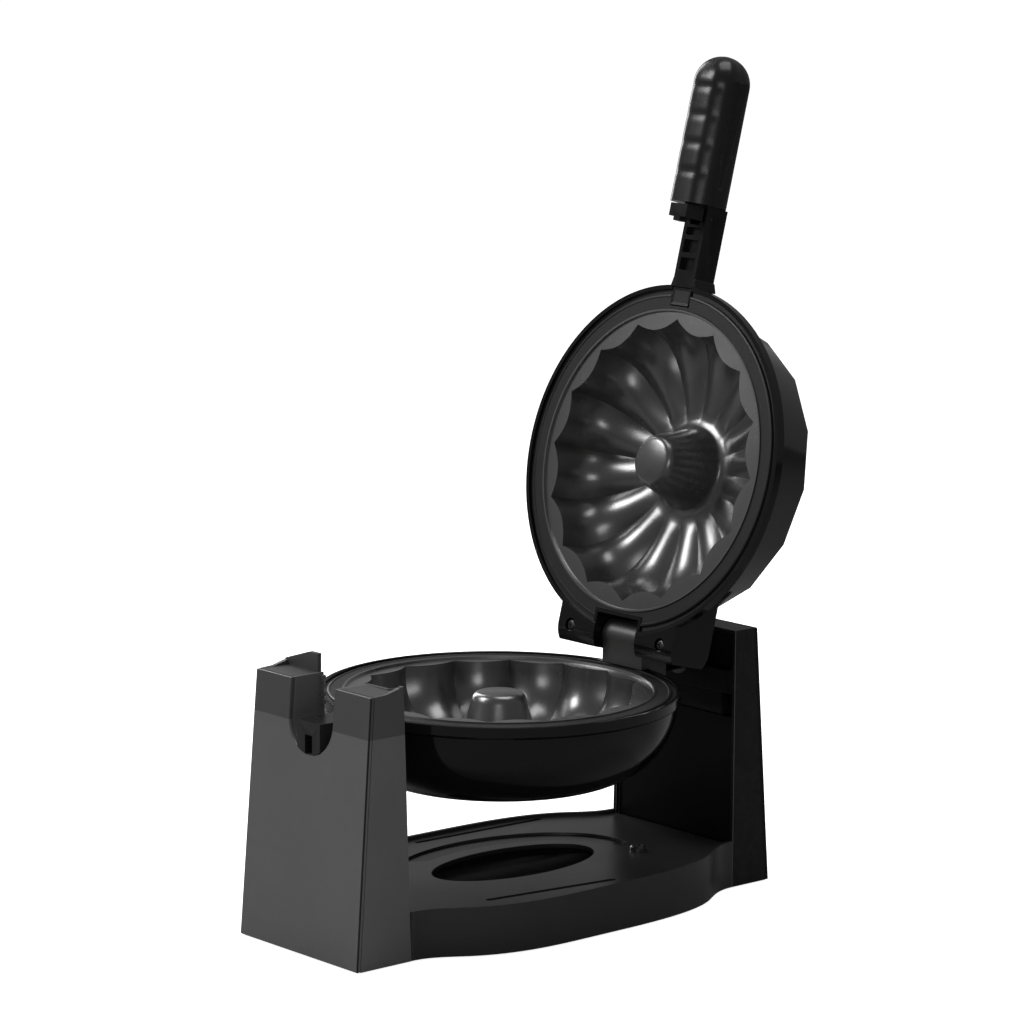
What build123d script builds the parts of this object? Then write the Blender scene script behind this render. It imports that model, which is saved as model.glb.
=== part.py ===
from build123d import *
import math
import os

os.makedirs("parts", exist_ok=True)

# Driving dimensions in mm, degrees where the name says angle.
# The working frame has X to the right, Y to the back and Z up, with the stand centred on the table.

# Stand
stand_room = 123.0
stand_width = 121.0
top_width = 117.2
base_height = 33.0
bulge_width = 183.0
casing_wall = 3.0
skirt_gap = 0.8
foot_height = 1.8
foot_radius = 8.0
foot_inset = 24.0
plate_drop = 2.5
cover_thickness = 2.5
cover_gap = 0.9
screw_clearance = 0.2
front_tower_rise = 24.35
front_tower_lean = 12.5
front_tower_foot_depth = 44.5
front_tower_top_depth = 26.5
rear_tower_rise = 26.75
rear_tower_lean = 12.9
rear_tower_foot_depth = 34.5
rear_tower_top_depth = 20.6
guard_rise = 12.0
corner_rise = 4.0
oval_length = 132.0
oval_width = 66.0
slot_width = 4.0
slot_places = ((68.5, -25.0, 101.0, 82.0), (-79.0, 40.0, 112.0, 88.0))
crescent_depth = 1.6
notch_radius = 22.0
liner_wall = 2.5
rib_pitch = 5.4
rib_height = 2.4
rib_count = 4

# Turning axis and bearing
axis_height = 151.65
bowl_centre_y = -12.0
axle_radius = 9.0
axle_bore = 6.5
axle_end_gap = 3.0
bush_wall = 3.0
running_gap = 0.05
fit_gap = 0.02
pillow_radius = 19.0
ledge_height = 16.0
bearing_depth = 12.0
ring_width = 2.0

# Bowl, lid and pans
rim_radius = 120.0
parting_gap = 0.2
bowl_depth = 59.0
bowl_floor_radius = 75.0
shell_wall = 2.2
rim_lip = 3.0
pan_flange_thickness = 3.0
pan_wall = 2.4
pan_land = 20.0
flute_count = 16
flute_bulge = 6.5
lower_cavity_depth = 44.0
upper_cavity_depth = 42.0
post_top_radius = 17.0
post_foot_radius = 28.0
post_drop = 2.0
element_radius = 50.0
element_tube = 3.2
reflector_radius = 62.0
reflector_thickness = 0.7
flange_thickness = 6.0
flange_width = 8.0
dome_draft = 11.0
dome_slope = 13.0
dome_shoulder_height = 47.0
dome_height = 55.0
dome_wall = 2.5

# Hinge
open_angle = 104.2
hinge_rise = 18.4
lug_radius = 18.0
lug_end = 11.5
lug_inner = 20.3
lug_outer = 56.5
pin_radius = 3.0
block_half_width = 19.7
block_top_radius = 10.5
hinge_cut_clearance = 12.5

# Neck, handle and latch
neck_reach = 40.5
tongue_half_width = 11.5
neck_half_width = 10.0
neck_gap = 0.3
latch_slot_half_width = 3.65
latch_slot_top = 9.0
grip_reach = 55.0
grip_length = 102.0
grip_radius = 19.2
grip_wall = 3.2
tang_half_width = 8.0
tang_half_height = 5.0
tang_length = 75.0
latch_reach = 47.0
latch_pivot_rise = 6.0
latch_half_width = 8.0
latch_thickness = 5.0
latch_back = 3.8
latch_drop = 17.6
hook_reach = 3.0
hook_height = 7.0
latch_pin_radius = 1.5
screw_radius = 1.6
screw_head_radius = 3.4
screw_head_height = 2.0

stand_length = 2 * rim_radius + stand_room
front_tower_height = axis_height + front_tower_rise
rear_tower_height = axis_height + rear_tower_rise
pan_flange_radius = rim_radius - rim_lip
cusp_radius = pan_flange_radius - pan_land
dome_foot_radius = rim_radius - flange_width
dome_shoulder_radius = dome_foot_radius - dome_draft
dome_top_radius = dome_shoulder_radius - dome_slope
bowl_front = bowl_centre_y - rim_radius
neck_end_y = bowl_front - neck_reach
grip_start_y = bowl_front - grip_reach
latch_y = bowl_front - latch_reach
half_length = stand_length / 2
half_width = stand_width / 2
top_half = top_width / 2
hinge_y = bowl_centre_y + rim_radius
hinge_z = axis_height + hinge_rise
through = 400.0


def box(x0, x1, y0, y1, z0, z1):
    """A block between two corners."""
    return Pos((x0 + x1) / 2, (y0 + y1) / 2, (z0 + z1) / 2) * Box(x1 - x0, y1 - y0, z1 - z0)


def rod(axis, radius, start, end, a=0.0, b=0.0):
    """A round bar along X, Y or Z between two values, at a and b on the other two axes."""
    length = end - start
    middle = (start + end) / 2
    if axis == "X":
        return Pos(middle, a, b) * Rot(0, 90, 0) * Cylinder(radius, length)
    if axis == "Y":
        return Pos(a, middle, b) * Rot(90, 0, 0) * Cylinder(radius, length)
    return Pos(a, b, middle) * Cylinder(radius, length)


def tapered(foot, top, z0, z1):
    """A block with flat sides between two rectangles, each given as half width, y0, y1."""
    faces = []
    for (half, y0, y1), z in ((foot, z0), (top, z1)):
        faces.append(Pos(0, (y0 + y1) / 2, z) * Rectangle(2 * half, y1 - y0))
    return loft(Sketch() + faces, ruled=True)


def turned(points):
    """A solid of revolution about Z from an outline of radius and height."""
    outline = Polyline(*[(r, 0, z) for r, z in points], close=True)
    return revolve(make_face(outline), Axis.Z)


def lean(y_foot, slope, z):
    """Where a leaning wall stands at height z."""
    return y_foot + slope * z


# Stand planes
front_slope = front_tower_lean / front_tower_height
front_inner_foot = -half_length + front_tower_foot_depth
front_inner_top = -half_length + front_tower_lean + front_tower_top_depth
rear_slope = -rear_tower_lean / rear_tower_height
rear_inner_foot = half_length - rear_tower_foot_depth
rear_inner_top = half_length - rear_tower_lean - rear_tower_top_depth
width_slope = (top_half - half_width) / front_tower_height
floor_top = foot_height + cover_thickness
notch_cut_radius = notch_radius + liner_wall


def tower_block(side, inset, z0, z1, outer_inset=None, inner_inset=None):
    """The solid of a tower, drawn in by the inset, between two heights."""
    outer_inset = inset if outer_inset is None else outer_inset
    inner_inset = inset if inner_inset is None else inner_inset
    sections = []
    for z in (z0, z1):
        half = half_width + width_slope * z - inset
        if side == "front":
            slope_in = (front_inner_top - front_inner_foot) / front_tower_height
            y0 = lean(-half_length, front_slope, z) + outer_inset
            y1 = lean(front_inner_foot, slope_in, z) - inner_inset
        else:
            slope_in = (rear_inner_top - rear_inner_foot) / rear_tower_height
            y0 = lean(rear_inner_foot, slope_in, z) + inner_inset
            y1 = lean(half_length, rear_slope, z) - outer_inset
        sections.append((half, y0, y1))
    return tapered(sections[0], sections[1], z0, z1)


def base_outline(inset):
    """The plan of the base between the towers, with its bulging sides."""
    bulge = bulge_width / 2 - inset
    straight = half_width - inset
    y0, y1 = front_inner_foot, rear_inner_foot
    span = y1 - y0
    swell = bulge - straight
    shape = ((0.13, 0.5), (0.25, 0.9), (0.47, 1.0), (0.72, 0.9), (0.87, 0.5))
    points = [(straight + swell * out, y0 + span * along) for along, out in shape]
    right = Spline((straight, y0), *points, (straight, y1), tangents=((0, 1), (0, 1)), tangent_scalars=(1.2, 1.2))
    left = mirror(right, Plane.YZ)
    ends = [Line((-straight, y0), (straight, y0)), Line((-straight, y1), (straight, y1))]
    return make_face(Curve() + [right, left] + ends)


def base_shell():
    """Bulging base between the towers, open below, with the oval opening and the slots."""
    shell = extrude(Pos(0, 0, skirt_gap) * base_outline(0), base_height - skirt_gap)
    hollow = extrude(Pos(0, 0, 0) * base_outline(casing_wall), base_height - casing_wall - plate_drop)
    shell -= hollow
    shell -= extrude(Pos(0, 0, base_height - plate_drop) * base_outline(casing_wall), through)
    middle_y = (front_inner_foot + rear_inner_foot) / 2 - casing_wall
    oval = Pos(0, middle_y, 0) * Ellipse(oval_width / 2, oval_length / 2)
    shell -= extrude(oval, through)
    for x, y, length, turn in slot_places:
        slot = Pos(x, y, 0) * Rot(0, 0, turn) * SlotOverall(length, slot_width)
        shell -= extrude(slot, through)
    return shell - crescent()


def crescent():
    """Shallow groove behind and to the left of the oval."""
    outer = Pos(-4, 6, 0) * Ellipse(60, 92)
    inner = Pos(4, 0, 0) * Ellipse(48.5, 80)
    left = Polygon((-44, -51), (10, 90), (10, 120), (-120, 120), (-120, -51), align=None)
    floor = base_height - plate_drop - crescent_depth
    return extrude(Pos(0, 0, floor) * ((outer - inner) & left), through)


def screw_places():
    """Centres of the base screws, each in a boss beside a tower's side wall."""
    reach = half_width - casing_wall - screw_head_radius
    front_y = -half_length + front_tower_foot_depth / 2
    rear_y = half_length - rear_tower_foot_depth / 2
    return [(side * reach, y) for y in (front_y, rear_y) for side in (-1, 1)]


boss_radius = screw_head_radius + 1.0
boss_height = 22.0


def bosses(places):
    """Screw bosses standing over the bottom cover."""
    made = []
    for x, y in places:
        made.append(rod("Z", boss_radius, floor_top + 0.1, boss_height, x, y) - rod("Z", screw_radius + fit_gap, 0, through, x, y))
    return made


def notch_prism(radius, y0, y1):
    """A U-shaped prism along Y, open above, centred on the turning axis."""
    return rod("Y", radius, y0, y1, 0, axis_height) + box(-radius, radius, y0, y1, axis_height, axis_height + through / 4)


def front_tower():
    """Front tower casing behind its cover, with the raised guard beside the notch."""
    height = front_tower_height
    tower = tower_block("front", 0, skirt_gap, height, casing_wall, 0)
    inner = tower_block("front", casing_wall, -1, height - casing_wall, -1, casing_wall)
    tower -= inner
    tower -= box(-half_width + casing_wall, half_width - casing_wall, -through, front_inner_foot + 1, -1, floor_top + 0.2)
    tower -= notch_prism(notch_cut_radius, -half_length, front_inner_foot + 1)
    edge = top_half - 0.05
    corner = height + corner_rise
    guard_plan = [(-edge, height - 1), (-notch_cut_radius, height - 1), (-notch_cut_radius, height + guard_rise),
                  (-notch_cut_radius - casing_wall * 3, height + guard_rise), (-edge, corner)]
    right_plan = [(edge, height - 1), (edge, corner), (edge - 14, height + 0.4), (notch_cut_radius, height + 0.2),
                  (notch_cut_radius, height - 1)]
    for plan in (guard_plan, right_plan):
        rim = extrude(Plane.XZ * Polygon(*plan, align=None), casing_wall, dir=(0, -1, 0))
        tower += Pos(0, front_inner_top, 0) * rim
    y_front = front_inner_top - front_tower_top_depth + casing_wall + 0.5
    side_plan = Polygon((y_front, height - 1), (front_inner_top, height - 1), (front_inner_top, corner),
                        (y_front + 9, height + 0.5), (y_front, height), align=None)
    for x in (-edge, edge - casing_wall):
        tower += Pos(x, 0, 0) * extrude(Plane.YZ * side_plan, casing_wall)
    for boss in bosses(screw_places()[:2]):
        tower += boss & tower_block("front", 0.5, floor_top, boss_height, casing_wall + 0.5, 0.5)
    return tower


def front_cover():
    """Front face of the front tower, with the U-shaped notch."""
    z0, z1 = skirt_gap, front_tower_height
    sections = []
    for z in (z0, z1):
        y = lean(-half_length, front_slope, z)
        sections.append((half_width + width_slope * z, y, y + casing_wall))
    cover = tapered(sections[0], sections[1], z0, z1)
    return cover - notch_prism(notch_radius, -half_length - 1, front_inner_foot)


def notch_liner():
    """U-shaped liner of the notch, with short ribs at its inner left edge."""
    band = notch_prism(notch_cut_radius - fit_gap, -half_length, front_inner_foot)
    band -= notch_prism(notch_radius, -half_length, front_inner_foot)
    liner = band & tower_block("front", 0, skirt_gap, front_tower_height, casing_wall, 0)
    rib_y = front_inner_top - casing_wall
    for index in range(rib_count):
        z = axis_height + rib_pitch * (index + 0.7)
        for side in (-1, 1):
            inner = side * (notch_radius - rib_height)
            outer = side * (notch_radius + liner_wall / 2)
            liner += box(min(inner, outer), max(inner, outer), rib_y, front_inner_top, z, z + rib_pitch / 2)
    return liner


bearing_front = rear_inner_top + 1.0
housing_bottom = axis_height - ledge_height - 18.0
inner_panel_y = rear_inner_foot + casing_wall


def rear_tower():
    """Rear tower casing, recessed towards the bowl and open at the back for its cover."""
    height = rear_tower_height
    tower = tower_block("rear", 0, skirt_gap, height, casing_wall, 0)
    tower -= tower_block("rear", casing_wall, -1, height - casing_wall, -1, -1)
    chamfer = Polygon((rear_inner_top - 5, height - 14), (rear_inner_top - 5, height + 5),
                      (rear_inner_top + 9, height + 5), (rear_inner_top + 9, height), (rear_inner_top, height - 14), align=None)
    tower -= Pos(-through / 2, 0, 0) * extrude(Plane.YZ * chamfer, through)
    half = half_width - casing_wall
    side = tower_block("rear", casing_wall - 0.5, floor_top + 0.1, housing_bottom, casing_wall, 0)
    tower += side & box(-half - 1, half + 1, inner_panel_y, inner_panel_y + casing_wall, 0, housing_bottom)
    for boss in bosses(screw_places()[2:]):
        tower += boss & tower_block("rear", 0.5, floor_top, boss_height, casing_wall + 0.5, 0.5)
    return tower


inlet_radius = 8.0
inlet_bore = 4.0
inlet_height = 24.0
inlet_x = 30.0


def rear_cover():
    """Back face of the rear tower, with the hole for the cord inlet."""
    z0, z1 = skirt_gap, rear_tower_height
    sections = []
    for z in (z0, z1):
        y = lean(half_length, rear_slope, z)
        sections.append((half_width + width_slope * z, y - casing_wall, y))
    cover = tapered(sections[0], sections[1], z0, z1)
    return cover - rod("Y", inlet_radius, half_length - through / 4, half_length + 1, inlet_x, inlet_height)


def cord_inlet():
    """Bush that lines the cord's hole in the rear cover."""
    y_outer = lean(half_length, rear_slope, inlet_height)
    bush = rod("Y", inlet_radius - fit_gap, y_outer - casing_wall - 3, y_outer + 1, inlet_x, inlet_height)
    bush += rod("Y", inlet_radius + 2, y_outer - casing_wall - 4, y_outer - casing_wall - 1, inlet_x, inlet_height)
    return bush - rod("Y", inlet_bore, y_outer - 20, y_outer + 5, inlet_x, inlet_height)


def bottom_cover():
    """Flat cover that closes the base and both towers from below."""
    inset = casing_wall + cover_gap
    half = half_width - inset
    front_in = -half_length + inset + front_slope * floor_top
    rear_in = half_length - inset + rear_slope * floor_top
    cover = extrude(Pos(0, 0, foot_height) * base_outline(inset), cover_thickness)
    for y0, y1 in ((front_in, front_inner_foot), (rear_inner_foot, rear_in)):
        end = box(-half, half, y0, y1, foot_height, floor_top)
        for x, y in screw_places():
            end -= rod("Z", screw_radius + screw_clearance, 0, floor_top + 1, x, y)
        cover += end
    return cover


def foot(x, y):
    """Round rubber foot under the bottom cover."""
    return rod("Z", foot_radius, 0, foot_height, x, y)


def base_screws():
    """Screws from the bottom cover into the tower bosses."""
    made = []
    for x, y in screw_places():
        screw = rod("Z", screw_radius, foot_height - screw_head_height / 2, boss_height - 4, x, y)
        screw += rod("Z", screw_head_radius, foot_height - screw_head_height / 2, foot_height, x, y)
        made.append(screw)
    return Compound(children=made)


bush_radius = axle_radius + running_gap + bush_wall
bearing_back = bearing_front + bearing_depth


def bearing_housing():
    """Cross member of the rear tower that carries the bush."""
    half = top_half - casing_wall - 0.5
    ledge_plan = Pos(0, (bearing_front + bearing_back) / 2) * SlotOverall(2 * half, bearing_depth)
    top = axis_height - 2
    housing = extrude(Pos(0, 0, top - ledge_height) * ledge_plan, ledge_height)
    housing += rod("Y", pillow_radius, bearing_front, bearing_back, 0, axis_height)
    housing += box(-half + 12, half - 12, bearing_front + 2, bearing_back, housing_bottom, top - ledge_height)
    return housing - rod("Y", bush_radius + fit_gap, bearing_front - 1, bearing_back + 1, 0, axis_height)


def rear_bush():
    """Plain bush in which the axle turns."""
    bush = rod("Y", bush_radius, bearing_front, bearing_back, 0, axis_height)
    return bush - rod("Y", axle_radius + running_gap, bearing_front - 1, bearing_back + 1, 0, axis_height)


def terminal_block():
    """Insulating block where the supply is joined, on the bottom cover inside the rear tower."""
    y0 = inner_panel_y + casing_wall + 3
    block = box(-14, 14, y0, y0 + 12, floor_top, floor_top + 14)
    for x in (-8, 0, 8):
        block -= rod("Y", 2, y0 - 1, y0 + 13, x, floor_top + 7)
    return block


# Pans and what is under them


def star_section(radius, bulge, z):
    """One ring of flutes: cusps point outwards and each arc swells inwards."""
    step = 2 * math.pi / flute_count
    arcs = []
    for index in range(flute_count):
        a, b = index * step, (index + 1) * step
        middle = (a + b) / 2
        inner = radius * math.cos(step / 2) - bulge
        arcs.append(ThreePointArc(
            (radius * math.cos(a), radius * math.sin(a), z),
            (inner * math.cos(middle), inner * math.sin(middle), z),
            (radius * math.cos(b), radius * math.sin(b), z),
        ))
    return make_face(Curve() + arcs)


def pan(depth):
    """Fluted ring pan with a centre post; its flange is at the top and the cavity goes down."""
    cavity_steps = ((1.0, 0.0, 1.0), (1.0, 0.36, 1.0), (0.92, 0.66, 0.95), (0.8, 0.87, 0.8), (0.6, 1.0, 0.5))
    sections = [star_section(cusp_radius * r, flute_bulge * b, -depth * z) for r, z, b in cavity_steps]
    cavity = loft(Sketch() + sections, ruled=True) + extrude(sections[0], 1)
    bottom = depth + pan_wall
    outer = [(0, 0), (pan_flange_radius, 0), (pan_flange_radius, -pan_flange_thickness),
             (cusp_radius + 2 * pan_wall, -pan_flange_thickness)]
    for r, z, b in cavity_steps[1:]:
        outer.append((cusp_radius * r + pan_wall + (z * pan_wall if z < 1 else 0), -depth * z - (pan_wall if z > 0.9 else 0)))
    outer.append((0, -bottom))
    body = turned(outer)
    post = turned([(0, -depth), (post_foot_radius, -depth), (post_top_radius, -post_drop - 3),
                   (post_top_radius - 3, -post_drop), (0, -post_drop)])
    body -= cavity - post
    body -= turned([(0, -bottom - 1), (post_foot_radius - 3.5, -bottom - 1), (post_top_radius - 3.5, -post_drop - 6),
                    (0, -post_drop - 6)])
    groove = turned([(cusp_radius + 5, 1), (cusp_radius + 7, 1), (cusp_radius + 7, -1), (cusp_radius + 5, -1)])
    return body - groove


def element(depth):
    """Open heating ring under the pan, with its two cold ends."""
    z = -depth - pan_wall - element_tube
    ring = Pos(0, 0, z) * Torus(element_radius, element_tube)
    gap = box(0, element_radius + 10, -6, 6, z - 10, z + 10)
    ends = [rod("X", element_tube, element_radius - 14, element_radius, side * 9, z) for side in (-1, 1)]
    return (ring - gap) + ends


screw_ring = 36.0


def pan_screws(depth, floor_depth):
    """Long screws that hold the pan and the reflector to the shell."""
    made = []
    for index in range(3):
        a = math.radians(30 + 120 * index)
        made.append(rod("Z", screw_radius, -floor_depth, -depth - pan_wall, screw_ring * math.cos(a), screw_ring * math.sin(a)))
    return Compound(children=made)


def reflector(depth, floor_depth):
    """Bright plate below the element that throws the heat back."""
    z = -depth - pan_wall - 2 * element_tube - 0.4
    plate = turned([(post_top_radius, z), (reflector_radius, z), (reflector_radius, z - reflector_thickness),
                    (post_top_radius, z - reflector_thickness)])
    for index in range(3):
        a = math.radians(30 + 120 * index)
        plate -= rod("Z", screw_radius + fit_gap, -through, 0, screw_ring * math.cos(a), screw_ring * math.sin(a))
    return plate


def thermostat(depth):
    """Disc thermostat pressed to the underside of the pan."""
    z = -depth - pan_wall
    a = math.radians(90)
    return Pos(screw_ring * math.cos(a), screw_ring * math.sin(a), z - 2.9) * Box(16, 12, 5.8)


fuse_radius = 2.0
fuse_start = 19.0


def thermal_fuse(depth):
    """Small fuse clipped to the underside of the pan."""
    z = -depth - pan_wall - fuse_radius
    return rod("X", fuse_radius, fuse_start, screw_ring, -fuse_start, z)


def in_cooker(solid):
    """From the bowl's own frame, with the parting plane at zero, to the working frame."""
    return Pos(0, bowl_centre_y, axis_height - parting_gap) * solid


def closed_lid(solid):
    """Turned upside down over the bowl, as when the lid is shut."""
    return Pos(0, bowl_centre_y, axis_height + parting_gap) * mirror(solid, Plane.XY)


def opened(solid):
    """From the shut position to the open one, about the hinge pin."""
    turn = Pos(0, hinge_y, hinge_z) * Rot(-open_angle, 0, 0) * Pos(0, -hinge_y, -hinge_z)
    return turn * solid


def bowl_side(offset):
    """Outline of the bowl's side from rim to floor, drawn in by the offset."""
    band = 8.0
    start = (rim_radius - offset - 1.5, -band)
    middle = (rim_radius - offset - 13.0, -bowl_depth * 0.66 + offset * 0.4)
    end = (bowl_floor_radius - offset * 0.3, -bowl_depth + offset)
    return start, middle, end


def bowl_solid(offset, top):
    """Filled bowl, drawn in by the offset."""
    start, middle, end = bowl_side(offset)
    edge = rim_radius - offset
    lines = [
        Line((0, 0, top), (edge, 0, top)),
        Line((edge, 0, top), (edge, 0, start[1] + 1.5)),
        Line((edge, 0, start[1] + 1.5), (start[0], 0, start[1])),
        ThreePointArc((start[0], 0, start[1]), (middle[0], 0, middle[1]), (end[0], 0, end[1])),
        Line((end[0], 0, end[1]), (0, 0, end[1])),
        Line((0, 0, end[1]), (0, 0, top)),
    ]
    return revolve(make_face(Curve() + lines), Axis.Z)


block_front_low = hinge_y - (rim_radius - pan_flange_radius) + 0.5
block_back = hinge_y + 13.0


def lower_shell():
    """Glossy bowl that carries the lower pan on its rim ledge."""
    shell = bowl_solid(0, 0) - bowl_solid(shell_wall, 1)
    shell += turned([(pan_flange_radius - 6, -pan_flange_thickness), (rim_radius - 1, -pan_flange_thickness),
                     (rim_radius - 1, -pan_flange_thickness - 2), (pan_flange_radius - 6, -pan_flange_thickness - 2)])
    shell -= turned([(0, 1), (pan_flange_radius + 0.1, 1), (pan_flange_radius + 0.1, -pan_flange_thickness), (0, -pan_flange_thickness)])
    shell = in_cooker(shell)
    return shell - box(-block_half_width - 0.1, block_half_width + 0.1, block_front_low - 0.1, through, axis_height - 22, through)


def hinge_block():
    """Block on the back of the bowl between the lid's lugs; it carries the pin and the axle."""
    half = block_half_width
    low_top = axis_height - parting_gap
    block = box(-half, half, block_front_low, block_back, axis_height - 21.9, low_top)
    upper_front = hinge_y - 10.0
    block += box(-half, half, upper_front, block_back, low_top + 0.1, hinge_z - 1)
    block += box(-half, half, block_front_low, block_back, low_top - 1, low_top + 1)
    block += rod("X", block_top_radius, -half, half, hinge_y, hinge_z)
    block -= rod("X", pin_radius + fit_gap, -half - 1, half + 1, hinge_y, hinge_z)
    block -= rod("Y", axle_radius + fit_gap, hinge_y, block_back + 1, 0, axis_height)
    return block


def hinge_pin():
    """Steel pin through both lugs and the hinge block."""
    reach = lug_outer - 3
    return rod("X", pin_radius, -reach, reach, hinge_y, hinge_z)


axle_end_y = lean(half_length, rear_slope, axis_height) - casing_wall - axle_end_gap


def rear_axle():
    """Hollow axle through which the supply reaches the bowl."""
    axle = rod("Y", axle_radius, hinge_y + 0.1, axle_end_y, 0, axis_height)
    return axle - rod("Y", axle_bore, hinge_y, axle_end_y + 1, 0, axis_height)


def axle_ring():
    """Retaining ring on the axle behind the bearing."""
    y = bearing_back + 0.3
    ring = rod("Y", axle_radius + 3.5, y, y + ring_width, 0, axis_height)
    return ring - rod("Y", axle_radius + fit_gap, y - 1, y + ring_width + 1, 0, axis_height)


def front_neck():
    """Lower half of the neck that turns in the notch, with the slot for the latch hook."""
    reach = bowl_centre_y - rim_radius + 25
    neck = rod("Y", notch_radius - neck_gap, neck_end_y, reach, 0, axis_height)
    neck &= box(-tongue_half_width, tongue_half_width, neck_end_y, reach, 0, axis_height - neck_gap)
    neck -= in_cooker(bowl_solid(0, parting_gap + 1))
    slot = latch_slot_half_width
    return neck - box(-slot, slot, neck_end_y - 1, neck_end_y + 8.5, 0, axis_height - latch_slot_top)


# Lid


def dome_solid(inset):
    """Sixteen-sided dome, drawn in by the inset, on the flange's upper side."""
    rings = ((dome_foot_radius, 0.0), (dome_foot_radius, flange_thickness),
             (dome_shoulder_radius, dome_shoulder_height), (dome_top_radius, dome_height))
    faces = []
    for radius, height in rings:
        z = height - (inset if height > flange_thickness else 0)
        faces.append(Pos(0, 0, z) * RegularPolygon(radius - inset, flute_count))
    return loft(Sketch() + faces, ruled=True)


def lid_cut(extra):
    """Room for the hinge block between the lugs."""
    y0 = rim_radius - hinge_cut_clearance - extra
    half = lug_inner + extra
    return box(-half, half, y0, through, -1, through)


def lid_frame(solid):
    """From the lid's own frame, with the parting plane at zero, to the shut position."""
    return Pos(0, bowl_centre_y, axis_height + parting_gap) * solid


def lid_shell():
    """Lid casing: flange, sixteen-sided dome and the two hinge lugs."""
    inside = dome_solid(dome_wall) - lid_cut(dome_wall)
    shell = Pos(0, 0, flange_thickness / 2) * Cylinder(rim_radius, flange_thickness)
    shell += dome_solid(0)
    rise = hinge_rise - parting_gap
    for side in (-1, 1):
        x0, x1 = sorted((side * lug_inner, side * lug_outer))
        lug = rod("X", lug_radius, x0, x1, rim_radius, rise)
        lug += box(x0, x1, rim_radius - 40, rim_radius, rise - lug_radius, rise + lug_radius)
        shell += lug - box(x0 - 1, x1 + 1, rim_radius + lug_end, through, -1, through)
    shell -= inside
    shell -= lid_cut(0)
    shell -= Pos(0, 0, pan_flange_thickness / 2) * (
        Cylinder(pan_flange_radius + 0.1, pan_flange_thickness) - lid_cut(dome_wall))
    shell -= rod("X", pin_radius + running_gap, -lug_outer + 2.5, lug_outer - 2.5, rim_radius, rise)
    return lid_frame(shell)


def lid_pan():
    """Upper pan, cut back beside the hinge."""
    upper = mirror(pan(upper_cavity_depth), Plane.XY)
    return lid_frame(upper - lid_cut(dome_wall + 0.2))


def lid_neck():
    """Upper half of the neck with the tang that carries the grip."""
    reach = -rim_radius + 25
    start = grip_start_y - bowl_centre_y
    neck = rod("Y", notch_radius - neck_gap, start, reach, 0, -parting_gap)
    neck &= box(-neck_half_width, neck_half_width, start, reach, neck_gap, grip_radius)
    neck -= dome_solid(0) + Pos(0, 0, flange_thickness / 2) * Cylinder(rim_radius, flange_thickness)
    pocket = latch_half_width - 3.2
    pivot_y = latch_y - bowl_centre_y
    neck -= box(-pocket, pocket, pivot_y - 5, pivot_y + 5, -through, latch_pivot_rise + 5)
    neck -= rod("X", latch_pin_radius + fit_gap, -20, 20, pivot_y, latch_pivot_rise)
    tang = box(-tang_half_width, tang_half_width, start - tang_length, start + 1.5, -tang_half_height, tang_half_height)
    for y in handle_screw_places():
        tang -= rod("Z", screw_radius + fit_gap, -20, 20, 0, y)
    return lid_frame(neck + tang)


def handle_screw_places():
    """Screw positions along the grip, from the lid's centre."""
    start = grip_start_y - bowl_centre_y
    return (start - grip_length * 0.22, start - grip_length * 0.62)


def grip_half(side):
    """One half of the round grip; the lower half has finger scallops."""
    start = grip_start_y - bowl_centre_y
    tip = start - grip_length + grip_radius
    grip = rod("Y", grip_radius, tip, start, 0, 0) + Pos(0, tip, 0) * Sphere(grip_radius)
    inner = grip_radius - grip_wall
    hollow = rod("Y", inner, tip, start - grip_wall, 0, 0) + Pos(0, tip, 0) * Sphere(inner)
    boss = rod("Z", 4.0, -grip_radius + 1, grip_radius - 1, 0, 0)
    grip -= hollow
    for y in handle_screw_places():
        grip += Pos(0, y, 0) * (boss - box(-20, 20, -20, 20, -tang_half_height, tang_half_height))
        grip -= rod("Z", screw_radius + fit_gap, -grip_radius + 3, grip_radius - 3, 0, y)
    grip -= box(-tang_half_width - 0.1, tang_half_width + 0.1, start - grip_wall - 1, start + 1,
                -tang_half_height - 0.1, tang_half_height + 0.1)
    for index in range(4):
        y = start - grip_length * (0.2 + 0.19 * index)
        grip -= rod("X", 16.0, -30, 30, y, -grip_radius - 14.2)
    limits = (0.0, 40.0) if side == "upper" else (-40.0, 0.0)
    return lid_frame(grip & box(-40, 40, start - grip_length - 5, start + 5, limits[0], limits[1]))


def handle_screws():
    """Two screws that clamp the grip halves on the tang."""
    reach = grip_radius - 3
    made = [rod("Z", screw_radius, -reach, reach, 0, y) for y in handle_screw_places()]
    return lid_frame(Compound(children=made))


def latch():
    """Swinging latch on the neck, with the hook that goes into the lower neck's slot."""
    y = latch_y - bowl_centre_y
    half = latch_thickness / 2
    ear = latch_half_width - 3.5
    body = box(-latch_half_width, latch_half_width, y - half - latch_back, y + half, -latch_drop, -1.0)
    body += box(-ear, ear, y - half, y + half, -1.0, latch_pivot_rise)
    body += rod("X", half, -ear, ear, y, latch_pivot_rise)
    body += box(-hook_reach, hook_reach, y + half - 0.1, y + half + hook_reach, -latch_drop, -latch_drop + hook_height)
    body -= rod("X", latch_pin_radius + running_gap, -20, 20, y, latch_pivot_rise)
    return lid_frame(body)


def latch_pin():
    """Pin on which the latch swings."""
    return lid_frame(rod("X", latch_pin_radius, -neck_half_width + 0.5, neck_half_width - 0.5, latch_y - bowl_centre_y, latch_pivot_rise))


lower_floor = bowl_depth - shell_wall
upper_floor = dome_height - dome_wall

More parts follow.
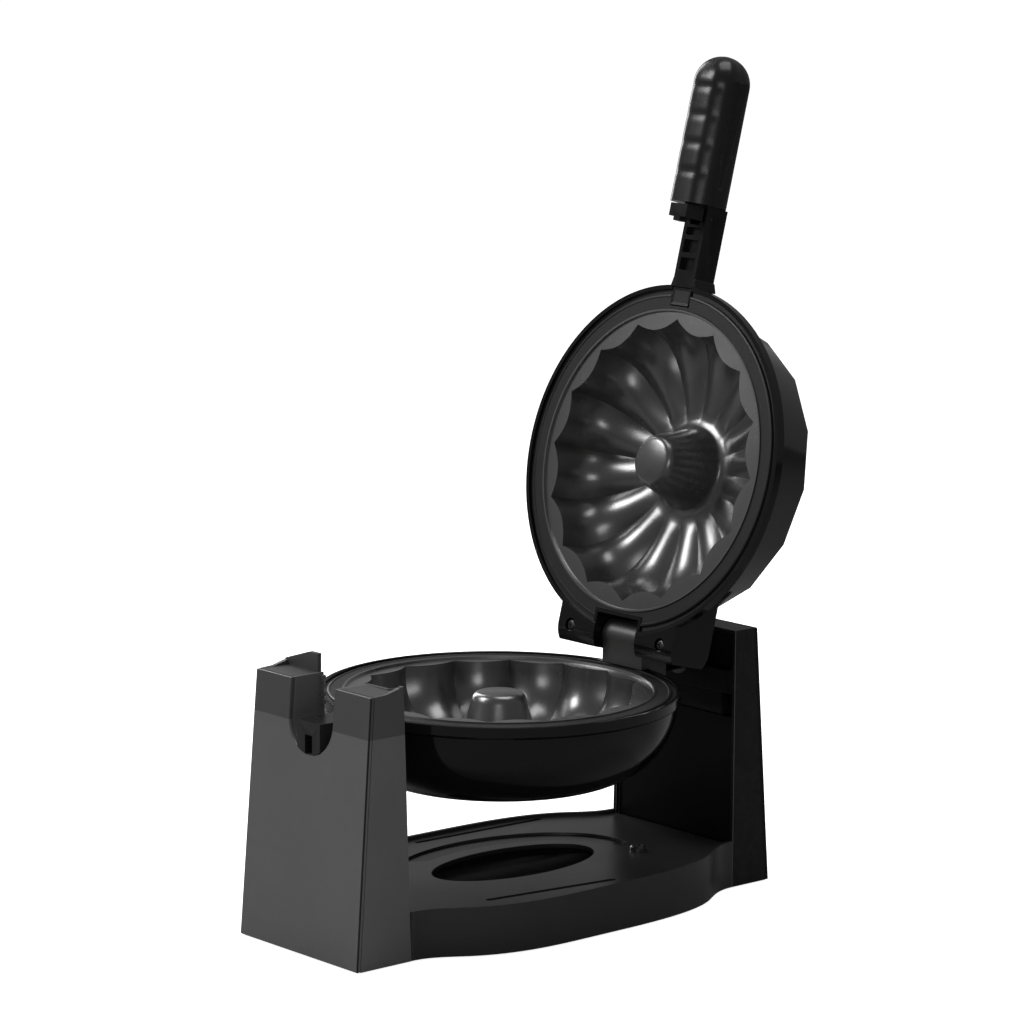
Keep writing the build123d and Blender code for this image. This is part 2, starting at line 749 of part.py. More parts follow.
nodes = {
    "base_shell": base_shell(),
    "front_tower": front_tower(),
    "front_cover": front_cover(),
    "notch_liner": notch_liner(),
    "rear_tower": rear_tower(),
    "rear_cover": rear_cover(),
    "cord_inlet": cord_inlet(),
    "bottom_cover": bottom_cover(),
    "base_screws": base_screws(),
    "bearing_housing": bearing_housing(),
    "rear_bush": rear_bush(),
    "terminal_block": terminal_block(),
    "lower_shell": lower_shell(),
    "lower_pan": in_cooker(pan(lower_cavity_depth)),
    "lower_element": in_cooker(element(lower_cavity_depth)),
    "lower_reflector": in_cooker(reflector(lower_cavity_depth, lower_floor)),
    "lower_pan_screws": in_cooker(pan_screws(lower_cavity_depth, lower_floor)),
    "thermostat": in_cooker(thermostat(lower_cavity_depth)),
    "thermal_fuse": in_cooker(thermal_fuse(lower_cavity_depth)),
    "hinge_block": hinge_block(),
    "hinge_pin": hinge_pin(),
    "rear_axle": rear_axle(),
    "axle_ring": axle_ring(),
    "front_neck": front_neck(),
    "lid_shell": opened(lid_shell()),
    "lid_pan": opened(lid_pan()),
    "upper_element": opened(closed_lid(element(upper_cavity_depth))),
    "upper_reflector": opened(closed_lid(reflector(upper_cavity_depth, upper_floor))),
    "upper_thermostat": opened(closed_lid(thermostat(upper_cavity_depth))),
    "lid_pan_screws": opened(closed_lid(pan_screws(upper_cavity_depth, upper_floor))),
    "lid_neck": opened(lid_neck()),
    "grip_lower": opened(grip_half("lower")),
    "grip_upper": opened(grip_half("upper")),
    "handle_screws": opened(handle_screws()),
    "latch": opened(latch()),
    "latch_pin": opened(latch_pin()),
}
foot_x = half_width - foot_inset
foot_y = half_length - foot_inset
for number, (x, y) in enumerate(((-foot_x, -foot_y), (foot_x, -foot_y), (-foot_x, foot_y), (foot_x, foot_y)), 1):
    nodes[f"foot_{number}"] = foot(x, y)

# The origin is moved to the middle of the whole object's box, on the table.
boxes = [solid.bounding_box() for solid in nodes.values()]
centre_y = (min(b.min.Y for b in boxes) + max(b.max.Y for b in boxes)) / 2
centre_x = (min(b.min.X for b in boxes) + max(b.max.X for b in boxes)) / 2
shift = Pos(-centre_x, -centre_y, 0)
for name, solid in nodes.items():
    export_step(shift * solid, f"parts/{name}.step")

print("shift", -centre_x, -centre_y)
print("hinge", hinge_y - centre_y, hinge_z, "axis", axis_height)
pivot = opened(lid_frame(Pos(0, latch_y - bowl_centre_y, latch_pivot_rise) * Box(1, 1, 1))).center()
print("latch pivot", pivot.Y - centre_y, pivot.Z)
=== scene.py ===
import math

import bpy
from mathutils import Matrix, Vector


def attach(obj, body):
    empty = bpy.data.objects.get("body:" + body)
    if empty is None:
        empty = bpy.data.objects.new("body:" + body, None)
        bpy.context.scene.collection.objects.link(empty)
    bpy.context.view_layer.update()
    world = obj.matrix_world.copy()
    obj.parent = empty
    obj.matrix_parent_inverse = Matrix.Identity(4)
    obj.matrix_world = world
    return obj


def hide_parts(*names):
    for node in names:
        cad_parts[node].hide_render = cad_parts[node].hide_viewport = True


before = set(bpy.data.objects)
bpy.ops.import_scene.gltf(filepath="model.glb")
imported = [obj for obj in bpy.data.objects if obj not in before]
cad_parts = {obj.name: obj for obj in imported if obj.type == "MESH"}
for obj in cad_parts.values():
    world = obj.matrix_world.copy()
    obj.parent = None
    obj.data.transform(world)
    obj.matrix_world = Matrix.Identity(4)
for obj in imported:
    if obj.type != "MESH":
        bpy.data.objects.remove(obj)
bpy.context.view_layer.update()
mm = 0.001
# Weld distances in metres for pieces drawn here and for CAD copies, the angle below which CAD triangles
# count as one flat face, and how eased pieces are shaded.
mesh = {"ownWeld": 1e-6, "cadWeld": 2e-6, "flatDegrees": 0.5, "smoothDegrees": 40, "flatWeight": 90}
smallSides = 40
print("frame loaded")


# working by hand: selection, edit mode, modifiers

def only(obj):
    bpy.ops.object.select_all(action="DESELECT")
    obj.select_set(True)
    bpy.context.view_layer.objects.active = obj


def openMesh(obj):
    only(obj)
    bpy.ops.object.mode_set(mode="EDIT")


def closeMesh():
    bpy.ops.object.mode_set(mode="OBJECT")


def pick(obj, test, what="VERT"):
    # Selects the vertices that pass the test by their place, or the faces by centre and normal.
    openMesh(obj)
    bpy.ops.mesh.select_mode(type=what)
    bpy.ops.mesh.select_all(action="DESELECT")
    closeMesh()
    if what == "VERT":
        for v in obj.data.vertices:
            v.select = test(v.co)
    else:
        for f in obj.data.polygons:
            f.select = test(f.center, f.normal)
    bpy.ops.object.mode_set(mode="EDIT")


def pickMembers(obj, members):
    # Selects the vertices with these numbers.
    pick(obj, lambda co: False)
    closeMesh()
    for i in members:
        obj.data.vertices[i].select = True
    bpy.ops.object.mode_set(mode="EDIT")


def finishWith(obj, kind, **values):
    only(obj)
    added = obj.modifiers.new(kind.title(), kind)
    for key, value in values.items():
        setattr(added, key, value)
    bpy.ops.object.modifier_apply(modifier=added.name)
    return obj


def facesOut(obj):
    openMesh(obj)
    bpy.ops.mesh.select_all(action="SELECT")
    bpy.ops.mesh.remove_doubles(threshold=mesh["ownWeld"])
    bpy.ops.mesh.normals_make_consistent(inside=False)
    closeMesh()
    return obj


def smooth(obj, angle):
    only(obj)
    bpy.ops.object.shade_smooth_by_angle(angle=math.radians(angle))
    return obj


def settle(obj, matrix=None):
    # The finished piece's place goes into its mesh, and its object back to the origin.
    only(obj)
    if matrix is not None:
        obj.matrix_world = matrix @ obj.matrix_world
    bpy.ops.object.transform_apply(location=True, rotation=True, scale=True)
    return obj


def copyOf(node, name):
    # A CAD node's triangles, merged, with its flat faces made whole.
    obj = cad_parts[node].copy()
    obj.data = obj.data.copy()
    obj.name = name
    obj.data.name = name
    bpy.context.scene.collection.objects.link(obj)
    obj.parent = None
    obj.matrix_world = Matrix.Identity(4)
    for key in list(obj.keys()):
        if key.startswith("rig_"):
            del obj[key]
    obj.data.materials.clear()
    only(obj)
    if obj.data.has_custom_normals:
        bpy.ops.mesh.customdata_custom_splitnormals_clear()
    openMesh(obj)
    bpy.ops.mesh.select_all(action="SELECT")
    bpy.ops.mesh.remove_doubles(threshold=mesh["cadWeld"])
    bpy.ops.mesh.mark_sharp(clear=True)
    bpy.ops.mesh.dissolve_limited(angle_limit=math.radians(mesh["flatDegrees"]))
    closeMesh()
    return obj


def eased(obj, width, angle=30, segments=2):
    # Rounds the moulding's corners, and keeps its broad faces flat in the shading.
    finishWith(obj, "BEVEL", width=width * mm, segments=segments, limit_method="ANGLE",
               angle_limit=math.radians(angle), use_clamp_overlap=True, miter_outer="MITER_ARC")
    smooth(obj, mesh["smoothDegrees"])
    return finishWith(obj, "WEIGHTED_NORMAL", mode="FACE_AREA", weight=mesh["flatWeight"], keep_sharp=True)


def addDetail(obj, body, material):
    # A small piece that has no solid of its own.
    obj.data.materials.clear()
    obj.data.materials.append(material)
    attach(obj, body)


def dress(obj, body, material, *nodes):
    # A piece that stands in for CAD nodes.
    addDetail(obj, body, material)
    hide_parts(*nodes)


def arcThrough(a, b, c, count):
    # Points along the arc through three points of an outline.
    (ax, ay), (bx, by), (cx, cy) = a, b, c
    d = 2 * (ax * (by - cy) + bx * (cy - ay) + cx * (ay - by))
    sa, sb, sc = ax**2 + ay**2, bx**2 + by**2, cx**2 + cy**2
    ux = (sa * (by - cy) + sb * (cy - ay) + sc * (ay - by)) / d
    uy = (sa * (cx - bx) + sb * (ax - cx) + sc * (bx - ax)) / d
    radius = math.hypot(ax - ux, ay - uy)
    start, end = math.atan2(ay - uy, ax - ux), math.atan2(cy - uy, cx - ux)
    turns = [start + (end - start) * i / count for i in range(count + 1)]
    return [(ux + radius * math.cos(t), uy + radius * math.sin(t)) for t in turns]


def turned(name, outline, steps):
    # An outline of radius and height, drawn point by point and spun about the upright axis.
    bpy.ops.object.select_all(action="DESELECT")
    bpy.ops.mesh.primitive_plane_add(size=mm, location=(0, 0, 0))
    obj = bpy.context.object
    obj.name = name
    obj.data.name = name
    openMesh(obj)
    bpy.ops.mesh.select_mode(type="VERT")
    bpy.ops.mesh.select_all(action="SELECT")
    bpy.ops.mesh.merge(type="CENTER")
    here = Vector((outline[0][0], 0, outline[0][1])) * mm
    bpy.ops.transform.translate(value=here)
    for radius, height in outline[1:]:
        there = Vector((radius, 0, height)) * mm
        bpy.ops.mesh.extrude_vertices_move(TRANSFORM_OT_translate={"value": there - here})
        here = there
    bpy.ops.mesh.select_all(action="SELECT")
    bpy.ops.mesh.spin(steps=steps, angle=2 * math.pi, center=(0, 0, 0), axis=(0, 0, 1))
    closeMesh()
    return facesOut(obj)


def block(name, lo, hi):
    # A block between two corners in mm, to be shaped further.
    bpy.ops.object.select_all(action="DESELECT")
    centre = [(a + b) / 2 * mm for a, b in zip(lo, hi)]
    bpy.ops.mesh.primitive_cube_add(size=1, location=centre)
    made = bpy.context.object
    made.name = name
    made.data.name = name
    made.scale = [(b - a) * mm for a, b in zip(lo, hi)]
    only(made)
    bpy.ops.object.transform_apply(location=True, rotation=True, scale=True)
    return made


def takeAway(obj, cutter):
    finishWith(obj, "BOOLEAN", operation="DIFFERENCE", object=cutter, solver="EXACT")
    only(cutter)
    bpy.ops.object.delete()
    return obj


def cutAway(obj, lo, hi):
    # Takes a block out of a piece, between two corners in mm.
    return takeAway(obj, block("cutter", lo, hi))


def drillAway(obj, radius, place, depth):
    # Takes an upright round hole out of a piece, centred on a place in mm.
    bpy.ops.object.select_all(action="DESELECT")
    bpy.ops.mesh.primitive_cylinder_add(vertices=smallSides, radius=radius * mm, depth=depth * mm,
                                        location=[v * mm for v in place])
    return takeAway(obj, bpy.context.object)


# effects that several finishes share

def newGroup(name, inputs, outputs):
    group = bpy.data.node_groups.new(name, "ShaderNodeTree")
    for label, value in inputs.items():
        made = group.interface.new_socket(label, in_out="INPUT", socket_type="NodeSocketFloat")
        made.default_value = value
    for label in outputs:
        group.interface.new_socket(label, in_out="OUTPUT", socket_type="NodeSocketFloat")
    start = group.nodes.new("NodeGroupInput")
    end = group.nodes.new("NodeGroupOutput")
    return group, start, end


def mathNode(tree, operation, *values, clamp=False):
    node = tree.nodes.new("ShaderNodeMath")
    node.operation = operation
    node.use_clamp = clamp
    for index, value in enumerate(values):
        if isinstance(value, (int, float)):
            node.inputs[index].default_value = value
        else:
            tree.links.new(value, node.inputs[index])
    return node.outputs[0]


def noiseNode(tree, vector, scale, detail, roughness=0.6):
    node = tree.nodes.new("ShaderNodeTexNoise")
    node.inputs["Detail"].default_value = detail
    node.inputs["Roughness"].default_value = roughness
    tree.links.new(vector, node.inputs["Vector"])
    if isinstance(scale, (int, float)):
        node.inputs["Scale"].default_value = scale
    else:
        tree.links.new(scale, node.inputs["Scale"])
    return node.outputs[0]


def makeGrain():
    # Fine moulded or sprayed grain, as a height.
    mix = {"cellScale": 0.7, "noise": 0.6, "cells": 0.4}
    group, start, end = newGroup("mouldGrain", {"Scale": 900.0, "Depth": 1.0}, ["Height"])
    place = group.nodes.new("ShaderNodeTexCoord").outputs["Object"]
    fine = noiseNode(group, place, start.outputs["Scale"], detail=2.0)
    cells = group.nodes.new("ShaderNodeTexVoronoi")
    group.links.new(place, cells.inputs["Vector"])
    cellScale = mathNode(group, "MULTIPLY", start.outputs["Scale"], mix["cellScale"])
    group.links.new(cellScale, cells.inputs["Scale"])
    fine = mathNode(group, "MULTIPLY", fine, mix["noise"])
    coarse = mathNode(group, "MULTIPLY", cells.outputs[0], mix["cells"])
    both = mathNode(group, "ADD", fine, coarse)
    group.links.new(mathNode(group, "MULTIPLY", both, start.outputs["Depth"]), end.inputs["Height"])
    return group


def makeHandling():
    # Slow cloudy change of the sheen, from wiping and handling.
    mix = {"slow": 0.7, "fine": 0.3, "fineScale": 9.0}
    inputs = {"Scale": 14.0, "Base": 0.3, "Spread": 0.1}
    group, start, end = newGroup("handlingMarks", inputs, ["Roughness", "Mask"])
    place = group.nodes.new("ShaderNodeTexCoord").outputs["Object"]
    slow = noiseNode(group, place, start.outputs["Scale"], detail=4.0, roughness=0.55)
    fineScale = mathNode(group, "MULTIPLY", start.outputs["Scale"], mix["fineScale"])
    fine = noiseNode(group, place, fineScale, detail=3.0)
    slow = mathNode(group, "MULTIPLY", slow, mix["slow"])
    fine = mathNode(group, "MULTIPLY", fine, mix["fine"])
    both = mathNode(group, "ADD", slow, fine)
    centred = mathNode(group, "SUBTRACT", both, 0.5)
    span = mathNode(group, "MULTIPLY", start.outputs["Spread"], 2.0)
    sway = mathNode(group, "MULTIPLY", centred, span)
    sheen = mathNode(group, "ADD", start.outputs["Base"], sway, clamp=True)
    group.links.new(sheen, end.inputs["Roughness"])
    group.links.new(mathNode(group, "MULTIPLY", both, 1.0, clamp=True), end.inputs["Mask"])
    return group


def makeEdgeRub():
    # Where corners are rubbed: lighter, in broken patches.
    alwaysRubbed = 0.25
    inputs = {"Start": 0.53, "Width": 0.06, "Amount": 1.0, "Scale": 160.0}
    group, start, end = newGroup("edgeRub", inputs, ["Mask"])
    sharp = group.nodes.new("ShaderNodeNewGeometry").outputs["Pointiness"]
    place = group.nodes.new("ShaderNodeTexCoord").outputs["Object"]
    broken = noiseNode(group, place, start.outputs["Scale"], detail=3.0)
    rise = mathNode(group, "SUBTRACT", sharp, start.outputs["Start"])
    rise = mathNode(group, "DIVIDE", rise, start.outputs["Width"], clamp=True)
    rise = mathNode(group, "MULTIPLY", rise, mathNode(group, "ADD", broken, alwaysRubbed, clamp=True))
    mask = mathNode(group, "MULTIPLY", rise, start.outputs["Amount"], clamp=True)
    group.links.new(mask, end.inputs["Mask"])
    return group


def makeDust():
    # Thin dust on what faces up.
    steepness = 3.0
    group, start, end = newGroup("dustFilm", {"Amount": 0.3, "Scale": 60.0}, ["Mask"])
    normal = group.nodes.new("ShaderNodeNewGeometry").outputs["Normal"]
    parts = group.nodes.new("ShaderNodeSeparateXYZ")
    group.links.new(normal, parts.inputs[0])
    up = mathNode(group, "POWER", mathNode(group, "MAXIMUM", parts.outputs["Z"], 0.0), steepness)
    place = group.nodes.new("ShaderNodeTexCoord").outputs["Object"]
    patchy = noiseNode(group, place, start.outputs["Scale"], detail=5.0, roughness=0.65)
    mask = mathNode(group, "MULTIPLY", up, mathNode(group, "MULTIPLY", patchy, start.outputs["Amount"]))
    group.links.new(mathNode(group, "MULTIPLY", mask, 1.0, clamp=True), end.inputs["Mask"])
    return group


effects = {"grain": makeGrain(), "handling": makeHandling(), "rub": makeEdgeRub(), "dust": makeDust()}
print("shared effects ready")


def addEffect(tree, name, **values):
    node = tree.nodes.new("ShaderNodeGroup")
    node.node_tree = effects[name]
    for key, value in values.items():
        node.inputs[key].default_value = value
    return node


def mixColours(tree, mask, a, b):
    # Of a colour mix, sockets 6 and 7 take the two colours and output 2 gives the result.
    node = tree.nodes.new("ShaderNodeMix")
    node.data_type = "RGBA"
    tree.links.new(mask, node.inputs[0])
    for value, index in ((a, 6), (b, 7)):
        if isinstance(value, tuple):
            node.inputs[index].default_value = (*value, 1.0)
        else:
            tree.links.new(value, node.inputs[index])
    return node.outputs[2]


def finish(name, settings):
    # One finish: colour with cloudy change, rubbed corners and dust; sheen from handling; grain as bump.
    s = {"colour": (0.01, 0.01, 0.011), "cloud": 1.6, "cloudScale": 14.0, "rub": 0.3,
         "rubColour": (0.05, 0.05, 0.05), "dust": 0.02, "dustColour": (0.3, 0.29, 0.27),
         "rough": 0.3, "spread": 0.08, "specular": 0.5, "ior": 1.5, "metal": 0.0,
         "coat": 0.0, "coatRough": 0.08, "grainScale": 900.0, "grainDepth": 0.3, "grainHeight": 0.0002}
    s.update(settings)
    material = bpy.data.materials.new(name)
    material.use_nodes = True
    tree = material.node_tree
    shader = tree.nodes["Principled BSDF"]
    handling = addEffect(tree, "handling", Scale=s["cloudScale"], Base=s["rough"], Spread=s["spread"])
    lighter = tuple(min(1.0, c * s["cloud"]) for c in s["colour"])
    colour = mixColours(tree, handling.outputs["Mask"], s["colour"], lighter)
    rub = addEffect(tree, "rub", Amount=s["rub"])
    colour = mixColours(tree, rub.outputs["Mask"], colour, s["rubColour"])
    dust = addEffect(tree, "dust", Amount=s["dust"])
    colour = mixColours(tree, dust.outputs["Mask"], colour, s["dustColour"])
    tree.links.new(colour, shader.inputs["Base Color"])
    tree.links.new(handling.outputs["Roughness"], shader.inputs["Roughness"])
    shader.inputs["Metallic"].default_value = s["metal"]
    shader.inputs["IOR"].default_value = s["ior"]
    shader.inputs["Specular IOR Level"].default_value = s["specular"]
    shader.inputs["Coat Weight"].default_value = s["coat"]
    shader.inputs["Coat Roughness"].default_value = s["coatRough"]
    grain = addEffect(tree, "grain", Scale=s["grainScale"], Depth=1.0)
    bump = tree.nodes.new("ShaderNodeBump")
    bump.inputs["Strength"].default_value = s["grainDepth"]
    bump.inputs["Distance"].default_value = s["grainHeight"]
    tree.links.new(grain.outputs["Height"], bump.inputs["Height"])
    tree.links.new(bump.outputs["Normal"], shader.inputs["Normal"])
    return material


finishSettings = {
    "glossShell": {
        "colour": (0.002, 0.002, 0.0024), "rough": 0.12, "spread": 0.05, "specular": 0.27,
        "grainDepth": 0.04, "grainScale": 500.0, "rub": 0.1, "dust": 0.004},
    "satinCasing": {
        "colour": (0.053, 0.053, 0.054), "rough": 0.36, "spread": 0.06, "grainDepth": 0.22,
        "grainScale": 1300.0},
    "capCasing": {
        "colour": (0.027, 0.027, 0.028), "rough": 0.4, "spread": 0.06, "specular": 0.45,
        "grainDepth": 0.22, "grainScale": 1300.0},
    "baseCasing": {
        "colour": (0.0125, 0.0125, 0.013), "rough": 0.3, "spread": 0.07, "specular": 0.4,
        "grainDepth": 0.18, "grainScale": 1300.0, "dust": 0.008},
    # Painted shade: the rear pieces take a much darker copy of the casing colour, standing in for the shade
    # they lie in.
    "rearCasingPaintedShade": {
        "colour": (0.003, 0.003, 0.0034), "rough": 0.3, "spread": 0.06, "specular": 0.05,
        "grainDepth": 0.18, "grainScale": 1300.0, "dust": 0.003},
    "panRim": {
        "colour": (0.006, 0.006, 0.006), "rough": 0.45, "spread": 0.05, "specular": 0.25,
        "grainDepth": 0.6, "grainScale": 1100.0, "dust": 0.006},
    "neckBlack": {
        "colour": (0.0025, 0.0025, 0.003), "rough": 0.2, "spread": 0.06, "specular": 0.2,
        "grainDepth": 0.1, "dust": 0.003},
    # Painted light: the hinge block's colour is lifted well above the dark shell's, standing in for light on
    # its front face.
    "blockSatinPaintedLight": {
        "colour": (0.022, 0.0215, 0.021), "rough": 0.4, "spread": 0.06, "grainDepth": 0.25},
    "darkSteel": {
        "colour": (0.05, 0.05, 0.052), "rough": 0.35, "metal": 1.0, "cloud": 1.3,
        "rubColour": (0.12, 0.12, 0.12), "grainDepth": 0.2},
    "panCoating": {
        "colour": (0.015, 0.0147, 0.0145), "rough": 0.26, "spread": 0.07, "specular": 1.0,
        "coat": 0.7, "coatRough": 0.3, "grainDepth": 0.3, "grainScale": 1500.0},
    "gripPlastic": {
        "colour": (0.005, 0.005, 0.0055), "rough": 0.28, "spread": 0.08, "specular": 0.3,
        "grainDepth": 0.12, "dust": 0.004},
    "steel": {
        "colour": (0.48, 0.47, 0.45), "rough": 0.3, "metal": 1.0, "cloud": 1.2,
        "rubColour": (0.7, 0.69, 0.66), "grainDepth": 0.15},
    "brightPlate": {
        "colour": (0.62, 0.62, 0.62), "rough": 0.22, "metal": 1.0, "cloud": 1.15,
        "rubColour": (0.8, 0.8, 0.8), "grainDepth": 0.1},
    "footRubber": {
        "colour": (0.018, 0.018, 0.018), "rough": 0.7, "grainDepth": 0.6, "grainScale": 700.0},
    "insulator": {
        "colour": (0.55, 0.52, 0.45), "rough": 0.55, "cloud": 1.1, "rubColour": (0.6, 0.57, 0.5),
        "grainDepth": 0.3},
}
finishes = {name: finish(name, settings) for name, settings in finishSettings.items()}
print("finishes ready")


# frames of the bowl and of the open lid, with the parting plane at zero

seat = {"bowlY": -22.395, "axisZ": 151.65, "gap": 0.2, "hingeY": 97.605, "hingeZ": 170.05, "open": 104.2}
bowlFrame = Matrix.Translation(Vector((0, seat["bowlY"], seat["axisZ"] - seat["gap"])) * mm)
hingeSpot = Vector((0, seat["hingeY"], seat["hingeZ"])) * mm
opening = Matrix.Rotation(-math.radians(seat["open"]), 4, "X")
swing = Matrix.Translation(hingeSpot) @ opening @ Matrix.Translation(-hingeSpot)
lidFrame = swing @ Matrix.Translation(Vector((0, seat["bowlY"], seat["axisZ"] + seat["gap"])) * mm)
upsideDown = Matrix.Rotation(math.pi, 4, "Y")


# fluted pans

panForm = {
    "flutes": 16, "columns": 12, "wall": 2.4, "lowerDepth": 44.0, "lidDepth": 42.0, "smooth": 40,
    # radius and height of each point
    "rim": [(117.0, -2.4), (113.9, -2.4), (113.5, -0.9), (112.9, -0.5), (112.1, -0.5), (111.6, -1.0),
            (103.9, -1.0), (103.4, -0.1), (102.2, -0.1), (101.6, -1.75), (99.4, -1.65)],
    # radius, share of the depth, how far the flute swells
    "cavity": [(97.0, 0.037, 7.4), (96.7, 0.2, 7.8), (95.6, 0.38, 8.0), (92.4, 0.56, 7.8), (87.0, 0.72, 7.2),
               (79.0, 0.85, 6.4), (69.0, 0.935, 5.4), (58.0, 0.98, 4.2), (47.0, 1.0, 2.8), (40.0, 1.0, 1.2),
               (35.0, 1.0, 0.0)],
    # radius, share of the depth
    "post": [(29.2, -0.97), (28.4, -0.95), (27.2, -0.9), (18.3, -0.175), (17.2, -0.115), (15.8, -0.075),
             (13.6, -0.055), (0.0, -0.05)],
    # how close a vertex lies to the ring it belongs to
    "match": 0.05,
    # the dull rim starts here
    "bead": 103.6,
    # gaps in the lid pan's rim: side, half width, where they start; and how far round them the cuts reach
    "lidGaps": ((1, 23.0, 104.8), (-1, 9.3, 105.6)), "gapRoom": 8,
}


def swellFlutes(pan, outline, steps):
    # Each ring of the cavity swells between its cusps, square to the wall.
    form = panForm
    first = len(form["rim"])
    cavity = outline[first:first + len(form["cavity"])]
    groups = {}
    for v in pan.data.vertices:
        radius = math.hypot(v.co.x, v.co.y) / mm
        turn = math.atan2(v.co.y, v.co.x) / (2 * math.pi) * steps
        column = round(turn) % form["columns"]
        column = min(column, form["columns"] - column)
        for index, (r, z) in enumerate(cavity):
            if column and abs(radius - r) < form["match"] and abs(v.co.z / mm - z) < form["match"]:
                groups.setdefault((index, column), []).append(v.index)
    for (index, column), members in groups.items():
        before, after = outline[first + index - 1], outline[first + index + 1]
        if index == 0:
            before = cavity[0]
        slope = Vector((after[0] - before[0], after[1] - before[1])).normalized()
        phase = column / form["columns"]
        swell = form["cavity"][index][2] * 4 * phase * (1 - phase)
        radius = cavity[index][0]
        share = (radius + slope[1] * swell) / radius
        pickMembers(pan, members)
        bpy.ops.transform.resize(value=(share, share, 1), center_override=(0, 0, 0))
        bpy.ops.transform.translate(value=(0, 0, -slope[0] * swell * mm))
        closeMesh()


def openRim(pan, side, half, start):
    # A gap in the rim: three cuts, then the faces between them go.
    room = panForm["gapRoom"] * mm
    half, start = half * mm, start * mm
    near = start - room
    cuts = (((half, 0, 0), (1, 0, 0)), ((-half, 0, 0), (1, 0, 0)), ((0, side * start, 0), (0, 1, 0)))
    for place, normal in cuts:
        pick(pan, lambda co, n: side * co.y > near and abs(co.x) < half + room, "FACE")
        bpy.ops.mesh.bisect(plane_co=place, plane_no=normal)
        closeMesh()
    pick(pan, lambda co, n: side * co.y > start and abs(co.x) < half, "FACE")
    bpy.ops.mesh.delete(type="FACE")
    closeMesh()


def makePan(name, depth, gaps=()):
    form = panForm
    cavity = [(r, -depth * z) for r, z, _ in form["cavity"]]
    outline = form["rim"] + cavity + [(r, depth * z) for r, z in form["post"]]
    steps = form["flutes"] * form["columns"]
    pan = turned(name, outline, steps)
    swellFlutes(pan, outline, steps)
    rimFace = max(pan.data.polygons, key=lambda f: f.center.xy.length)
    if rimFace.normal.z < 0:
        openMesh(pan)
        bpy.ops.mesh.select_all(action="SELECT")
        bpy.ops.mesh.flip_normals()
        closeMesh()
    for side, half, start in gaps:
        openRim(pan, side, half, start)
    finishWith(pan, "SOLIDIFY", thickness=form["wall"] * mm, offset=-1)
    return pan


def secondLook(piece, look, test):
    # Gives the faces that pass the test a further finish.
    piece.data.materials.append(finishes[look])
    pick(piece, test, "FACE")
    piece.active_material_index = len(piece.data.materials) - 1
    bpy.ops.object.material_slot_assign()
    closeMesh()


def dullRim(pan, place):
    # The rim outside the bead has a duller, stippled face.
    back = place.inverted()
    secondLook(pan, "panRim", lambda co, n: (back @ co).xy.length > panForm["bead"] * mm)


lowerPan = smooth(makePan("lowerPan", panForm["lowerDepth"]), panForm["smooth"])
settle(lowerPan, bowlFrame)
dress(lowerPan, "cooker", finishes["panCoating"], "lower_pan")
dullRim(lowerPan, bowlFrame)
lidPan = makePan("lidPan", panForm["lidDepth"], gaps=panForm["lidGaps"])
settle(lidPan, upsideDown)
smooth(lidPan, panForm["smooth"])
settle(lidPan, lidFrame)
dress(lidPan, "lid", finishes["panCoating"], "lid_pan")
dullRim(lidPan, lidFrame)
print("pans fluted")


# glossy bowl

bowlForm = {
    "rim": 120.0, "floor": 75.0, "depth": 59.0, "wall": 2.2, "steps": 160, "smooth": 24,
    # the floor's shallow hollow underneath: two radii and its height
    "hollow": (60, 62, 0.7),
    # how far in from the rim, and height: first two points of the wall's arcs outside and inside
    "outerArc": ((1.5, -8.2), (13, -38.9)), "outerCount": 22,
    "innerArc": ((3.9, -9.0), (15.6, -37.6)), "innerCount": 16, "innerFloor": 0.8,
    # the same for the band round the rim, from its lower edge over the lip
    "band": ((1.9, -7.6), (0.9, -7.2), (0, -6.4), (0, -0.9), (0.3, -0.25), (1.0, 0), (2.0, 0), (2.5, -0.3),
             (2.8, -0.9)),
    # radius and height of the ledge under the pan
    "ledge": [(117.2, -3.2), (111, -3.2), (111, -5)],
    # opening for the hinge block, between two corners
    "gap": ((-19.8, 117.4, -21.8), (19.8, 140, 10)),
}


def makeBowl():
    f = bowlForm
    inner, outer, rise = f["hollow"]
    bottom = -f["depth"]
    inside = f["wall"] - f["depth"]
    outerStart, outerMiddle = [(f["rim"] - r, z) for r, z in f["outerArc"]]
    innerStart, innerMiddle = [(f["rim"] - r, z) for r, z in f["innerArc"]]
    outerArc = arcThrough(outerStart, outerMiddle, (f["floor"], bottom), f["outerCount"])
    innerArc = arcThrough(innerStart, innerMiddle, (f["floor"] - f["innerFloor"], inside), f["innerCount"])
    outline = [(0, bottom + rise), (inner, bottom + rise), (outer, bottom)]
    outline += outerArc[::-1]
    outline += [(f["rim"] - r, z) for r, z in f["band"]]
    outline += f["ledge"] + [(innerStart[0], f["ledge"][-1][1])]
    outline += innerArc + [(0, inside)]
    bowl = turned("lowerBowl", outline, f["steps"])
    cutAway(bowl, *f["gap"])
    smooth(bowl, f["smooth"])
    settle(bowl, bowlFrame)
    dress(bowl, "cooker", finishes["glossShell"], "lower_shell")


makeBowl()
print("bowl turned")


# round grip in two halves, squarer than a bar, with finger hollows and a sunk panel each side

